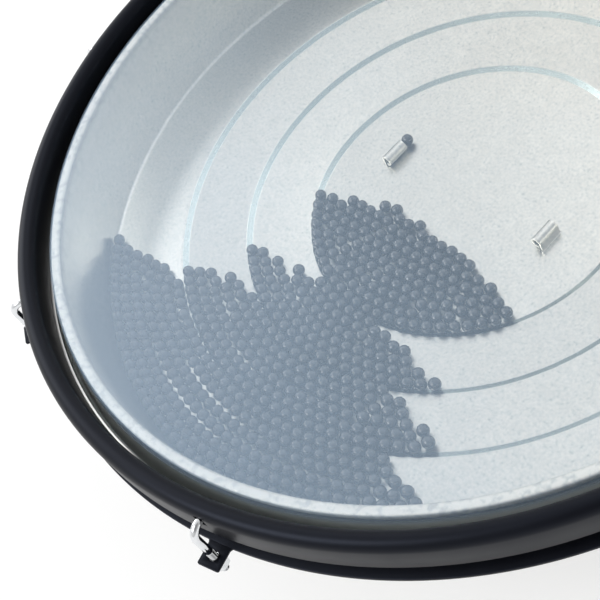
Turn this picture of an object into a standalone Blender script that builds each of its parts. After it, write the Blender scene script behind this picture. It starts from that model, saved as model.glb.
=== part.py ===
"""Trash snare: a galvanised can lid turned upside down as a dish, under a clear drum film.

The film is stretched over the lid's rolled lip by a black counter hoop. Eight plated hooks
pull the hoop down against a clamp ring that bites under the lip. Loose beads roll on the
lid's stepped floor and rattle when the film is struck. The lid's own strap handle is still
on its underside, and the drum stands on it. Metres, +Z up, X along the handle.
"""
import math

import bmesh
import bpy
from mathutils import Matrix

# Lid, heights counted from the top of its centre disc
SHEET = 0.0008
RISER_FEET = ((0.0810, 0.0000), (0.1146, 0.0060), (0.1486, 0.0112))
RISER_RUN = 0.0032
RISER_RISE = 0.0016
FLOOR_EDGE = (0.1893, 0.0131)
CORNER_RADIUS = 0.0030
CURL_CENTRE = (0.1984, 0.0597)
CURL_RADIUS = 0.0026
CURL_END_DEG = -110
WALL_FOOT_DEG = (-60, -4)

# Strap handle under the lid, its ends curled over inside the dish
HANDLE_DROP = 0.0280
STRAP_SHEET = 0.0012
GRIP_HALF_LENGTH = 0.0300
GRIP_HALF_WIDTH = 0.0150
GRIP_EDGE_TURN = 0.0030
GRIP_FLAT_SHARE = 0.84
GRIP_BENDS = ((0.006, 0.002, 0.94, 0.7), (0.011, 0.007, 0.82, 0.3))
SHOULDER_DROP = 0.0060
SHOULDER_LEAN = (0.002, 0.004)
TAB_HALF_WIDTH = 0.0065
TAB_X = 0.0535
TAB_CURL_RADIUS = 0.0025
TAB_CURL_HEIGHT = 0.0040
TAB_CURL_DEG = 285
SLOT_CLEARANCE = 0.0005
SLOT_DEPTH = 0.0080
HANDLE_SHIFT = 0.0014
HANDLE_SKEW_DEG = 1.6

# Film and the channel that grips its edge
FILM = 0.0006
COLLAR_FOOT = 0.2060
FLESH_INNER = 0.2070
FLESH_OUTER = 0.2110
FLESH_TOP = 0.0500
FLESH_BOTTOM = 0.0440
FILM_FLANGE_EDGE = 0.2093
FILM_FLANGE_HEIGHT = 0.0458

# Counter hoop: a rolled steel band, an upside-down U
HOOP_SHEET = 0.0016
HOOP_INNER = 0.2080
HOOP_OUTER = 0.2174
HOOP_SPRING = 0.0645
HOOP_CROWN = 0.0050
HOOP_SKIRT_BOTTOM = 0.0515

# Lugs round the hoop: slot, hook, clamp-ring ear, washer and nut
LUGS = 8
FIRST_LUG_DEG = 17.5
HOOK_WIRE = 0.0019
HOOK_BEND = 0.0052
HOOK_BEND_CENTRE = (0.2186, 0.0585)
HOOK_TIP = 0.0535
HOOK_END = 0.0290
HOOK_SLOT = (0.0596, 0.0659)
HOOK_SLOT_HALF_WIDTH = 0.00225

# Clamp ring under the rolled lip
CLAMP_INNER = 0.1973
CLAMP_OUTER = 0.2182
CLAMP_SHEET = 0.0020
CLAMP_FLANGE_TOP = 0.0420
CLAMP_FILLET = 0.0020
CLAMP_EDGE_BREAK = 0.0005
CLAMP_EAR_HALF_WIDTH = 0.0056
CLAMP_EAR_REACH = 0.0055
CLAMP_EAR_CORNER = 0.0010
CLAMP_EAR_ROOT = 0.0060
CLAMP_EAR_FLARE = 2.0
WASHER_RADIUS = 0.0048
WASHER_THICK = 0.0009
NUT_ACROSS_FLATS = 0.0080
NUT_HEIGHT = 0.0040
ROD_HOLE = 0.0023

# Loose beads, lying in one layer against the side the drum is tipped to
BEAD = 0.00635
BEAD_PITCH = 0.00645
BED_VALLEY = 0.0024
BED_WELD = 0.0001
BED_FLAT_DEG = 3
BED_EDGES = (
    ("bead_bed_centre", 0.028, 3.9),
    ("bead_bed_first_step", 0.078, 2.5),
    ("bead_bed_second_step", 0.105, 1.8),
    ("bead_bed_outer_step", 0.134, 0.1),
)
LOOSE_BEADS = (
    (-0.0321, 0.0334),
    (0.0233, 0.0289),
    (-0.0674, 0.0917),
    (0.0389, 0.0848),
    (-0.0884, 0.1154),
    (0.0625, 0.1104),
    (-0.1054, 0.1400),
    (0.0875, 0.1315),
    (0.0517, -0.0072),
)
LOOSE_ROOM = 0.0072
NEIGHBOUR_REACH = 1.1 * BEAD_PITCH
FEWEST_NEIGHBOURS = 2

GAP = 0.0003
WELD = 0.00001

# How finely round things are faceted
SEGMENTS = 40
WALL_FOOT_STEPS = 2
CURL_STEPS = 6
TAB_CURL_STEPS = 9
FILM_LIP_STEPS = 3
HOOP_CROWN_STEPS = 6
HOOK_STEPS = 6
WASHER_SIDES = 12
NUT_BORE_SIDES = 12
ROD_HOLE_SIDES = 10

FLOOR_Z = HANDLE_DROP + SHEET


def clear_scene():
    for obj in list(bpy.data.objects):
        bpy.data.objects.remove(obj, do_unlink=True)


def new_collection(name):
    collection = bpy.data.collections.new(name)
    bpy.context.scene.collection.children.link(collection)
    return collection


def finish(name, colour, metallic, roughness, alpha=1.0):
    material = bpy.data.materials.new(name)
    material.use_nodes = True
    shader = material.node_tree.nodes["Principled BSDF"]
    shader.inputs["Base Color"].default_value = (*colour, 1.0)
    shader.inputs["Metallic"].default_value = metallic
    shader.inputs["Roughness"].default_value = roughness
    shader.inputs["Alpha"].default_value = alpha
    material.diffuse_color = (*colour, alpha)
    return material


def place(name, data, material, collection):
    obj = bpy.data.objects.new(name, data)
    if not data.materials:
        data.materials.append(material)
    collection.objects.link(obj)
    return obj


def mesh_from(name, bm):
    mesh = bpy.data.meshes.new(name)
    bm.to_mesh(mesh)
    bm.free()
    return mesh


def arc(centre, radius, start_deg, end_deg, steps, rise=None):
    """Points on an arc in the profile plane; rise makes it elliptical."""
    rise = radius if rise is None else rise
    points = []
    for i in range(steps + 1):
        angle = math.radians(start_deg + (end_deg - start_deg) * i / steps)
        points.append((centre[0] + radius * math.cos(angle), centre[1] + rise * math.sin(angle)))
    return points


def circle(radius, sides, centre=(0.0, 0.0)):
    return arc(centre, radius, 0, 360 - 360 / sides, sides - 1)


def profile_mesh(name, points, closed):
    """Edges of a profile (radius, height above the lid's floor) in the XZ plane."""
    mesh = bpy.data.meshes.new(name)
    verts = [(r, 0.0, FLOOR_Z + z) for r, z in points]
    edges = [(i, i + 1) for i in range(len(points) - 1)]
    if closed:
        edges.append((len(points) - 1, 0))
    mesh.from_pydata(verts, edges, [])
    return mesh


def turn(obj, steps=SEGMENTS):
    screw = obj.modifiers.new("turn", "SCREW")
    screw.angle = math.tau
    screw.steps = steps
    screw.render_steps = steps
    screw.use_merge_vertices = True
    screw.merge_threshold = WELD
    screw.use_smooth_shade = True


def thicken(obj, sheet, side):
    """Give a sheet its thickness: side -1 behind its face, +1 in front of it."""
    solidify = obj.modifiers.new("sheet", "SOLIDIFY")
    solidify.thickness = sheet
    solidify.offset = side
    solidify.use_even_offset = True


def combine(obj, tool, operation):
    boolean = obj.modifiers.new(tool.name, "BOOLEAN")
    boolean.operation = operation
    boolean.object = tool
    boolean.solver = "EXACT"


def as_tool(name, mesh, collection):
    """A helper solid that cuts or joins another, and is not a part itself."""
    obj = bpy.data.objects.new(name, mesh)
    obj.hide_render = True
    obj.display_type = "WIRE"
    collection.objects.link(obj)
    return obj


def plate_mesh(name, outlines, thickness, collection):
    """A flat plate from closed outlines (the first solid, the rest holes), centred on z=0."""
    curve = bpy.data.curves.new(name, "CURVE")
    curve.dimensions = "2D"
    curve.fill_mode = "BOTH"
    curve.extrude = thickness / 2
    for outline in outlines:
        spline = curve.splines.new("POLY")
        spline.points.add(len(outline) - 1)
        for point, (x, y) in zip(spline.points, outline):
            point.co = (x, y, 0.0, 1.0)
        spline.use_cyclic_u = True
    obj = bpy.data.objects.new(name, curve)
    collection.objects.link(obj)
    depsgraph = bpy.context.evaluated_depsgraph_get()
    bm = bmesh.new()
    bm.from_mesh(bpy.data.meshes.new_from_object(obj.evaluated_get(depsgraph)))
    bmesh.ops.remove_doubles(bm, verts=bm.verts, dist=WELD)
    bmesh.ops.recalc_face_normals(bm, faces=bm.faces)
    bpy.data.objects.remove(obj, do_unlink=True)
    return mesh_from(name, bm)


def lug_angles():
    return [math.radians(FIRST_LUG_DEG + 360 / LUGS * i) for i in range(LUGS)]


def at_every_lug(name, mesh, height):
    """One mesh holding a copy of a plate at each lug."""
    bm = bmesh.new()
    for angle in lug_angles():
        first = len(bm.verts)
        bm.from_mesh(mesh)
        bm.verts.ensure_lookup_table()
        move = Matrix.Rotation(angle, 4, "Z") @ Matrix.Translation((0, 0, FLOOR_Z + height))
        bmesh.ops.transform(bm, matrix=move, verts=bm.verts[first:])
    return mesh_from(name, bm)


def floor_line():
    """The lid's stepped floor from its centre to the foot of the wall."""
    points = [(0.0, 0.0)]
    for radius, height in RISER_FEET:
        points.append((radius, height))
        points.append((radius + RISER_RUN, height + RISER_RISE))
    points.append(FLOOR_EDGE)
    return points


def floor_height(radius):
    line = floor_line()
    for (r0, z0), (r1, z1) in zip(line, line[1:]):
        if radius <= r1:
            return z0 + (z1 - z0) * (radius - r0) / (r1 - r0)
    return line[-1][1]


def make_lid(parts, tools, zinc):
    corner = (FLOOR_EDGE[0], FLOOR_EDGE[1] + CORNER_RADIUS)
    points = floor_line()
    points += arc(corner, CORNER_RADIUS, *WALL_FOOT_DEG, WALL_FOOT_STEPS)
    points += arc(CURL_CENTRE, CURL_RADIUS, 180, CURL_END_DEG, CURL_STEPS)
    lid = place("lid_shell", profile_mesh("lid_shell", points, False), zinc, parts)
    turn(lid)
    thicken(lid, SHEET, -1)
    for side in (-1, 1):
        bm = bmesh.new()
        bmesh.ops.create_cube(bm, size=1.0)
        width = STRAP_SHEET + 2 * SLOT_CLEARANCE
        length = 2 * (TAB_HALF_WIDTH + SLOT_CLEARANCE)
        bmesh.ops.scale(bm, vec=(width, length, SLOT_DEPTH), verts=bm.verts)
        bmesh.ops.translate(bm, vec=(side * TAB_X, 0, FLOOR_Z), verts=bm.verts)
        bmesh.ops.transform(bm, matrix=handle_place(), verts=bm.verts)
        slot = as_tool(f"handle_slot_{'left' if side < 0 else 'right'}", mesh_from("slot", bm), tools)
        combine(lid, slot, "DIFFERENCE")


def handle_place():
    """The strap was put on by hand: a little off the lid's centre and a little turned."""
    return Matrix.Translation((0, HANDLE_SHIFT, 0)) @ Matrix.Rotation(math.radians(HANDLE_SKEW_DEG), 4, "Z")


def handle_path():
    """Half of the strap's middle line: (x, z, half width, how far its edges turn up)."""
    bottom = -HANDLE_DROP - SHEET + STRAP_SHEET / 2
    shoulder = -SHEET - SHOULDER_DROP
    path = [(0.0, bottom, GRIP_HALF_WIDTH, GRIP_EDGE_TURN)]
    path.append((GRIP_HALF_LENGTH, bottom, GRIP_HALF_WIDTH, GRIP_EDGE_TURN))
    for run, rise, width_share, edge_share in GRIP_BENDS:
        width = GRIP_HALF_WIDTH * width_share
        path.append((GRIP_HALF_LENGTH + run, bottom + rise, width, GRIP_EDGE_TURN * edge_share))
    path.append((TAB_X - SHOULDER_LEAN[0], shoulder - SHOULDER_LEAN[1], TAB_HALF_WIDTH, 0.0))
    path.append((TAB_X, shoulder, TAB_HALF_WIDTH, 0.0))
    centre = (TAB_X - TAB_CURL_RADIUS, TAB_CURL_HEIGHT)
    for x, z in arc(centre, TAB_CURL_RADIUS, 0, TAB_CURL_DEG, TAB_CURL_STEPS):
        path.append((x, z, TAB_HALF_WIDTH, 0.0))
    return path


def make_handle(parts, zinc):
    mesh = bpy.data.meshes.new("lid_handle")
    verts = []
    faces = []
    for x, z, half, edge in handle_path():
        flat = half * GRIP_FLAT_SHARE
        for y, lift in ((-half, edge), (-flat, 0.0), (flat, 0.0), (half, edge)):
            verts.append((x, y, FLOOR_Z + z + lift))
    for row in range(len(handle_path()) - 1):
        for column in range(3):
            a = 4 * row + column
            faces.append((a, a + 4, a + 5, a + 1))
    mesh.from_pydata(verts, [], faces)
    handle = place("lid_handle", mesh, zinc, parts)
    handle.matrix_world = handle_place()
    mirror = handle.modifiers.new("other_end", "MIRROR")
    mirror.merge_threshold = WELD
    thicken(handle, STRAP_SHEET, 0)


def make_film(parts, film):
    """A flat disc, a collar that leaves the lip at a tangent, and a flange held by the channel."""
    over_lip = CURL_RADIUS + GAP
    run = COLLAR_FOOT - CURL_CENTRE[0]
    drop = FILM_FLANGE_HEIGHT - CURL_CENTRE[1]
    leave_deg = math.degrees(math.atan2(drop, run) + math.acos(over_lip / math.hypot(run, drop)))
    points = [(0.0, CURL_CENTRE[1] + over_lip)]
    points += arc(CURL_CENTRE, over_lip, 90, leave_deg, FILM_LIP_STEPS)
    points.append((COLLAR_FOOT, FILM_FLANGE_HEIGHT))
    points.append((FILM_FLANGE_EDGE, FILM_FLANGE_HEIGHT))
    head = place("film_head", profile_mesh("film_head", points, False), film, parts)
    turn(head)
    thicken(head, FILM, 1)


def make_flesh_hoop(parts, aluminium):
    groove_low = FILM_FLANGE_HEIGHT - GAP
    groove_high = FILM_FLANGE_HEIGHT + FILM + GAP
    groove_end = FILM_FLANGE_EDGE + GAP
    points = [
        (FLESH_INNER, FLESH_TOP),
        (FLESH_OUTER, FLESH_TOP),
        (FLESH_OUTER, FLESH_BOTTOM),
        (FLESH_INNER, FLESH_BOTTOM),
        (FLESH_INNER, groove_low),
        (groove_end, groove_low),
        (groove_end, groove_high),
        (FLESH_INNER, groove_high),
    ]
    hoop = place("flesh_hoop", profile_mesh("flesh_hoop", points, True), aluminium, parts)
    turn(hoop)


def make_counter_hoop(parts, tools, black):
    middle = (HOOP_INNER + HOOP_OUTER) / 2
    half = (HOOP_OUTER - HOOP_INNER) / 2
    points = [(HOOP_INNER, FLESH_TOP + GAP)]
    points += arc((middle, HOOP_SPRING), half, 180, 0, HOOP_CROWN_STEPS, HOOP_CROWN)
    points.append((HOOP_OUTER, HOOP_SKIRT_BOTTOM))
    hoop = place("counter_hoop", profile_mesh("counter_hoop", points, False), black, parts)
    turn(hoop)
    thicken(hoop, HOOP_SHEET, -1)
    low, high = HOOK_SLOT
    inside = HOOP_OUTER - 2 * HOOP_SHEET
    outside = HOOP_OUTER + HOOP_SHEET
    slot = [
        (inside, -HOOK_SLOT_HALF_WIDTH),
        (outside, -HOOK_SLOT_HALF_WIDTH),
        (outside, HOOK_SLOT_HALF_WIDTH),
        (inside, HOOK_SLOT_HALF_WIDTH),
    ]
    plate = plate_mesh("hook_slot", [slot], high - low, tools)
    slots = at_every_lug("hook_slots", plate, (high + low) / 2)
    combine(hoop, as_tool("hook_slots", slots, tools), "DIFFERENCE")


def make_clamp_ring(parts, tools, black):
    top = CURL_CENTRE[1] - CURL_RADIUS - GAP
    bottom = CLAMP_FLANGE_TOP - CLAMP_SHEET
    upstand = CLAMP_INNER + CLAMP_SHEET
    points = [
        (CLAMP_INNER, top),
        (upstand, top),
        (upstand, CLAMP_FLANGE_TOP + CLAMP_FILLET),
        (upstand + CLAMP_FILLET, CLAMP_FLANGE_TOP),
        (CLAMP_OUTER - CLAMP_EDGE_BREAK, CLAMP_FLANGE_TOP),
        (CLAMP_OUTER, CLAMP_FLANGE_TOP - CLAMP_SHEET / 2),
        (CLAMP_OUTER - CLAMP_EDGE_BREAK, bottom),
        (CLAMP_INNER + CLAMP_FILLET, bottom),
        (CLAMP_INNER, bottom + CLAMP_FILLET),
    ]
    ring = place("clamp_ring", profile_mesh("clamp_ring", points, True), black, parts)
    turn(ring)
    rod = HOOK_BEND_CENTRE[0] + HOOK_BEND
    half = CLAMP_EAR_HALF_WIDTH
    tip = rod + CLAMP_EAR_REACH
    side = [
        (CLAMP_OUTER - CLAMP_EAR_ROOT, CLAMP_EAR_FLARE * half),
        (CLAMP_OUTER, half),
        (tip - CLAMP_EAR_CORNER, half),
        (tip, half - CLAMP_EAR_CORNER),
    ]
    tab = [(r, -across) for r, across in side] + side[::-1]
    hole = circle(ROD_HOLE, ROD_HOLE_SIDES, (rod, 0.0))
    plate = plate_mesh("clamp_ear", [tab, hole], CLAMP_SHEET - 2 * GAP, tools)
    ears = at_every_lug("clamp_ears", plate, CLAMP_FLANGE_TOP - CLAMP_SHEET / 2)
    combine(ring, as_tool("clamp_ears", ears, tools), "UNION")


def make_hooks(parts, chrome):
    """J-hooks of plated wire, their tips through the slots in the hoop's skirt."""
    centre = HOOK_BEND_CENTRE
    path = [(centre[0] - HOOK_BEND, HOOK_TIP)]
    path += arc(centre, HOOK_BEND, 180, 0, HOOK_STEPS)
    path.append((centre[0] + HOOK_BEND, HOOK_END))
    curve = bpy.data.curves.new("hook", "CURVE")
    curve.dimensions = "3D"
    curve.bevel_depth = HOOK_WIRE
    curve.bevel_resolution = 2
    curve.use_fill_caps = True
    spline = curve.splines.new("POLY")
    spline.points.add(len(path) - 1)
    for point, (r, z) in zip(spline.points, path):
        point.co = (r, 0.0, FLOOR_Z + z, 1.0)
    for number, angle in enumerate(lug_angles(), 1):
        hook = place(f"tension_hook_{number}", curve, chrome, parts)
        hook.rotation_euler.z = angle


def make_washers_and_nuts(parts, tools, chrome):
    washer = [
        (ROD_HOLE, WASHER_THICK / 2),
        (WASHER_RADIUS, WASHER_THICK / 2),
        (WASHER_RADIUS, -WASHER_THICK / 2),
        (ROD_HOLE, -WASHER_THICK / 2),
    ]
    washer_mesh = bpy.data.meshes.new("washer")
    washer_mesh.from_pydata([(r, 0, z) for r, z in washer], [(0, 1), (1, 2), (2, 3), (3, 0)], [])
    corner = NUT_ACROSS_FLATS / math.sqrt(3)
    hexagon = circle(corner, 6)
    bore = circle(HOOK_WIRE + GAP, NUT_BORE_SIDES)
    nut_mesh = plate_mesh("nut", [hexagon, bore], NUT_HEIGHT, tools)
    rod = HOOK_BEND_CENTRE[0] + HOOK_BEND
    washer_z = FLOOR_Z + CLAMP_FLANGE_TOP - CLAMP_SHEET - GAP - WASHER_THICK / 2
    nut_z = washer_z - WASHER_THICK / 2 - GAP - NUT_HEIGHT / 2
    for number, angle in enumerate(lug_angles(), 1):
        spot = (rod * math.cos(angle), rod * math.sin(angle))
        disc = place(f"tension_washer_{number}", washer_mesh, chrome, parts)
        disc.location = (*spot, washer_z)
        turn(disc, WASHER_SIDES)
        nut = place(f"tension_nut_{number}", nut_mesh, chrome, parts)
        nut.location = (*spot, nut_z)
        nut.rotation_euler.z = angle


def steps_of_the_floor():
    """Inner and outer radius of each level that the beads lie on."""
    feet = [radius for radius, height in RISER_FEET] + [FLOOR_EDGE[0]]
    heads = [-BEAD] + [radius + RISER_RUN for radius, height in RISER_FEET]
    return list(zip(heads, feet))


def bed_centres(inner, outer, edge, bulge):
    """Places of the beads of one level: rows across the slope, below the pile's free edge."""
    row_step = BEAD_PITCH * math.sqrt(3) / 2
    reach = BEAD_PITCH / math.sqrt(3) + GAP
    centres = []
    for row in range(int(outer / row_step) + 1):
        y = row * row_step
        for column in range(-int(outer / BEAD_PITCH) - 1, int(outer / BEAD_PITCH) + 1):
            x = (column + 0.5 * (row % 2)) * BEAD_PITCH
            below_edge = y >= edge + bulge * x * x + BEAD / 2
            free = all(math.dist((x, y), spot) > LOOSE_ROOM for spot in LOOSE_BEADS)
            if below_edge and free and inner + reach <= math.hypot(x, y) <= outer - reach:
                centres.append((x, y))
    kept = []
    for centre in centres:
        touching = sum(0 < math.dist(centre, other) < NEIGHBOUR_REACH for other in centres)
        if touching >= FEWEST_NEIGHBOURS:
            kept.append(centre)
    return kept


def make_bed(parts, name, centres, black):
    """One level's beads as one sheet of touching domes that follows the floor."""
    bm = bmesh.new()
    for x, y in centres:
        bmesh.ops.create_circle(
            bm, cap_ends=True, segments=6, radius=BEAD_PITCH / math.sqrt(3),
            matrix=Matrix.Translation((x, y, 0)),
        )
    bmesh.ops.remove_doubles(bm, verts=bm.verts, dist=BED_WELD)
    extruded = bmesh.ops.extrude_face_region(bm, geom=bm.faces[:])["geom"]
    rims = [item for item in extruded if isinstance(item, bmesh.types.BMVert)]
    bmesh.ops.translate(bm, vec=(0, 0, BED_VALLEY), verts=rims)
    tops = [item for item in extruded if isinstance(item, bmesh.types.BMFace)]
    crowns = bmesh.ops.poke(bm, faces=tops)["verts"]
    bmesh.ops.translate(bm, vec=(0, 0, BEAD - BED_VALLEY), verts=crowns)
    for vert in bm.verts:
        vert.co.z += FLOOR_Z + GAP + floor_height(vert.co.xy.length)
    under = set(bm.verts) - set(rims) - set(crowns)
    seams = [e for e in bm.edges if e.verts[0] in under and e.verts[1] in under]
    bmesh.ops.dissolve_limit(bm, angle_limit=math.radians(BED_FLAT_DEG), verts=list(under), edges=seams)
    bmesh.ops.recalc_face_normals(bm, faces=bm.faces)
    place(name, mesh_from(name, bm), black, parts)


def make_beads(parts, black):
    for (name, edge, bulge), (inner, outer) in zip(BED_EDGES, steps_of_the_floor()):
        make_bed(parts, name, bed_centres(inner, outer, edge, bulge), black)
    bm = bmesh.new()
    bmesh.ops.create_icosphere(bm, subdivisions=2, radius=BEAD / 2)
    ball = mesh_from("bead", bm)
    ball.shade_smooth()
    axis = bpy.data.objects.new("drum_axis", None)
    parts.objects.link(axis)
    for number, (x, y) in enumerate(LOOSE_BEADS, 1):
        bead = place(f"loose_bead_{number}", ball, black, parts)
        bead.parent = axis
        bead.location = (x, y, FLOOR_Z + floor_height(math.hypot(x, y)) + BEAD / 2 + GAP)


def main():
    clear_scene()
    parts = new_collection("trash_snare")
    tools = new_collection("cutters")
    zinc = finish("galvanised_steel", (0.66, 0.70, 0.71), 0.9, 0.35)
    black = finish("black_painted_steel", (0.012, 0.012, 0.014), 0.0, 0.32)
    chrome = finish("chrome_plate", (0.80, 0.81, 0.82), 1.0, 0.12)
    aluminium = finish("drawn_aluminium", (0.70, 0.70, 0.70), 1.0, 0.30)
    film = finish("clear_film", (0.85, 0.90, 0.95), 0.0, 0.15, 0.25)
    pellet = finish("black_pellet", (0.03, 0.035, 0.04), 0.0, 0.45)
    make_lid(parts, tools, zinc)
    make_handle(parts, zinc)
    make_clamp_ring(parts, tools, black)
    make_film(parts, film)
    make_flesh_hoop(parts, aluminium)
    make_counter_hoop(parts, tools, black)
    make_hooks(parts, chrome)
    make_washers_and_nuts(parts, tools, chrome)
    make_beads(parts, pellet)


main()
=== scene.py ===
import math

import bmesh
import bpy
import numpy as np
from mathutils import Matrix, Quaternion, Vector


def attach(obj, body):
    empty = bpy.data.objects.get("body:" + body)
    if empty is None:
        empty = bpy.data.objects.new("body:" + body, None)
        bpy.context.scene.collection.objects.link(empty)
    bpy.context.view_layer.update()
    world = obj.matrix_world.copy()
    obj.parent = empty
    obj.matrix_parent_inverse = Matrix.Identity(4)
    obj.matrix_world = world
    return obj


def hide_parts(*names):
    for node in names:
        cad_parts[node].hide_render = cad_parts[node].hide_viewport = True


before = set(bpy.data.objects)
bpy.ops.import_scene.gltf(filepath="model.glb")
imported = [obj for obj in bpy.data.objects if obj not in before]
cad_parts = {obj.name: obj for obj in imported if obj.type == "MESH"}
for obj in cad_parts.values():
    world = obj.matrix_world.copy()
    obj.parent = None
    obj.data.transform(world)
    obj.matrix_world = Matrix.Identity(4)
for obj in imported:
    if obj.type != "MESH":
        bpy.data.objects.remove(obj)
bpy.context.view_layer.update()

# Sizes are in metres. Heights are above the lid's centre disc, as in the part's source.
MM = 0.001
# The centre disc above the ground, steps of a full turn, air between pieces, reach of a cutter past its cut
FLOOR_Z = 0.0288
ROUND = 288
GAP = 0.0003
CUT_PAST = 0.0010

# Lid: its sheet, the feet of its risers, the foot of its wall and its rolled lip
LID_SHEET = 0.0008
RISER_FEET = ((0.0810, 0.0000), (0.1146, 0.0060), (0.1486, 0.0112))
RISER_RUN = 0.0032
RISER_RISE = 0.0016
RISER_EASE = 0.0005
FLOOR_EDGE = (0.1893, 0.0131)
CORNER_CENTRE = 0.1907
CORNER_RADIUS = 0.0016
CORNER_DEG = (-75, -4)
LIP_CENTRE = (0.1984, 0.0597)
LIP_RADIUS = 0.0026
LIP_CORNER = 0.0010
LIP_TURN = 0.0021
LIP_CURL_DEG = -110
LIP_EDGE = (LIP_CENTRE[0] + LIP_RADIUS - LIP_CORNER, LIP_CENTRE[1] + LIP_RADIUS - LIP_CORNER)

# Handle: a strap with a grip whose edges turn up, and two tabs curled over inside the dish
STRAP_SHEET = 0.0012
STRAP_EDGE = 0.00025
STRAP_BOTTOM = -0.0282
STRAP_COLUMNS = 13
GRIP_HALF_WIDTH = 0.0150
GRIP_EDGE_TURN = 0.0030
GRIP_FLAT_SHARE = 0.6
TAB_HALF_WIDTH = 0.0065
TAB_X = 0.0535
TAB_CURL_RADIUS = 0.0025
TAB_CURL_HEIGHT = 0.0040
TAB_CURL_DEG = 285
TAB_SLOT = (0.0022, 2 * TAB_HALF_WIDTH + 0.001, 0.008)
HANDLE_SHIFT = 0.0014
HANDLE_SKEW_DEG = 1.6

# Film, and the channel with a seam that grips its edge
FILM = 0.0006
FILM_MIDDLE = 0.1
COLLAR_FOOT = 0.2060
FILM_FLANGE_EDGE = 0.2093
FILM_FLANGE_HEIGHT = 0.0458
FLESH_INNER = 0.2070
FLESH_OUTER = 0.2110
FLESH_TOP = 0.0500
FLESH_BOTTOM = 0.0440
FLESH_EDGE = 0.0003
FLESH_SEAM_DEG = 95.4
FLESH_SEAM = (0.02, 0.0005, 0.002)

# Counter hoop and clamp ring
HOOP_SHEET = 0.0016
HOOP_INNER = 0.2080
HOOP_OUTER = 0.2174
HOOP_SPRING = 0.0645
HOOP_CROWN = 0.0050
HOOP_STRAIGHT = 0.0010
HOOP_SKIRT_BOTTOM = 0.0515
HOOP_EDGE = 0.0004
CLAMP_INNER = 0.1973
CLAMP_OUTER = 0.2182
CLAMP_SHEET = 0.0020
CLAMP_BEND = 0.0020
CLAMP_FLANGE_TOP = 0.0420
CLAMP_EDGE = 0.0005

# Lugs: a hook, an ear of the clamp ring, a washer and a nut at each
LUGS = 8
FIRST_LUG_DEG = 17.5
HOOK_WIRE = 0.0019
HOOK_SIDES = 16
HOOK_BEND = 0.0052
HOOK_BEND_CENTRE = (0.2186, 0.0585)
HOOK_TIP = 0.0535
# height above the tip, half thickness there
HOOK_TIP_ROUND = ((0.0, 0.0011), (0.0003, 0.0016), (0.0009, HOOK_WIRE))
HOOK_END = 0.0290
HOOK_END_HALF = 0.0012
HOOK_SLOT = (0.0596, 0.0659)
ROD_RADIUS = HOOK_BEND_CENTRE[0] + HOOK_BEND
ROD_HOLE = 0.0023
THREAD_TOP = 0.0460
THREAD_SHOULDER = 0.0010
THREAD_PITCH = 0.0007
THREAD_DEPTH = 0.0003
EAR_HALF_WIDTH = 0.0056
EAR_TIP = ROD_RADIUS + 0.0055
EAR_ROOT = 0.0060
EAR_CORNER = 0.0010
EAR_EDGE = 0.0003
WASHER_RADIUS = 0.0048
WASHER_SHEET = 0.0009
WASHER_EDGE = 0.0002
NUT_HEIGHT = 0.0040
NUT_FLATS = 0.0080
# radius and height of the chamfer's foot
NUT_CHAMFER = (0.62 * NUT_FLATS, 0.0006)
NUT_BORE = 0.0022
NUT_MOUTH = 0.0026
NUT_MOUTH_DEPTH = 0.0004

# Pellets: their size and spacing, and for a single one its steps, its parting line's height
# as a share of the radius and width in radians, and its gate mark
BEAD = 0.00635
BEAD_PITCH = 0.00638
PELLET_STEPS = 32
PELLET_SIDES = 40
PARTING_RIDGE = 0.008
PARTING_WIDTH = 0.05
GATE_MARK = 0.00006
LOOSE_BEADS = (
    (-0.0321, 0.0334), (0.0233, 0.0289), (-0.0674, 0.0917),
    (0.0389, 0.0848), (-0.0884, 0.1154), (0.0625, 0.1104),
    (-0.1054, 0.1400), (0.0875, 0.1315), (0.0517, -0.0072),
)
# level, innermost and outermost bead, how the pile's edge bends and leans, its depth, squeeze, seed
BEAD_LEVELS = (
    ("centre", 0.0, 0.0803, 3.6, 0.0, 0.0290, 0.0016, 2),
    ("first_step", 0.0864, 0.1140, 2.2, 0.03, 0.0824, 0.0024, 2),
    ("second_step", 0.1201, 0.1479, 1.6, -0.025, 0.1094, 0.0030, 8),
    ("outer_step", 0.1540, 0.1888, 0.0, 0.04, 0.1386, 0.0032, 11),
)
# How a pile settles: shakes, how far one throws and sinks a pellet, rounds of rest after them,
# passes of spreading in each, and the room round a single pellet as a share of the pitch
SHAKES = 200
SHAKE = 0.00035
SINK = 0.00009
SHAKE_PASSES = 4
REST_ROUNDS = 60
REST_PASSES = 40
SINGLE_ROOM = 0.8

# Where a look comes in, and goes out again, by the distance from the axis
RISER_ZONE = (0.070, 0.072, 0.155, 0.16)
LIP_ZONE = (0.1945, 0.1965)
# Painted shade: a dark line painted round the lip's inner edge, where it turns into the wall
LIP_SHADE_LINE = (0.1956, 0.1959, 0.1962, 0.1966)
# The collar's whitening: partly stretched film, partly a painted reflection
STRAIN_AND_REFLECTION_ZONE = (0.2019, 0.2030)
# The side that the film's haze and its painted reflection grow towards, from where to where,
# and how dense it is there
HAZE_AND_REFLECTION_SIDE = (0.30, 0.954, 0.0)
HAZE_AND_REFLECTION_REACH = (-0.15, 0.20)
HAZE_AND_REFLECTION = (0.011, 0.197)

# Studio: its light grows towards the key side, and falls off round the camera
KEY_SIDE = (0.75, 0.10, 0.65)
ROOM_LIGHT = (0.45, 0.98)
DARK_SIDE = (-0.623, 0.175, 0.762)
DARK_REACH = (0.78, 0.97)
DARK_SHARE = 0.42
# White screens that the pellets mirror: towards, core and edge in degrees, strength
SCREENS = (
    ((0.25, -0.61, 0.75), 8, 22, 1.3),
    ((0.17, 0.67, 0.72), 8, 22, 6.0),
)
SOFTBOX_PLACE = (1.5, 0.35, 1.0)
SOFTBOX_SIZE = 1.2
SOFTBOX_WATTS = 10
STAGE_HALF = 6.0
STAGE_GLOW = 0.6

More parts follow.
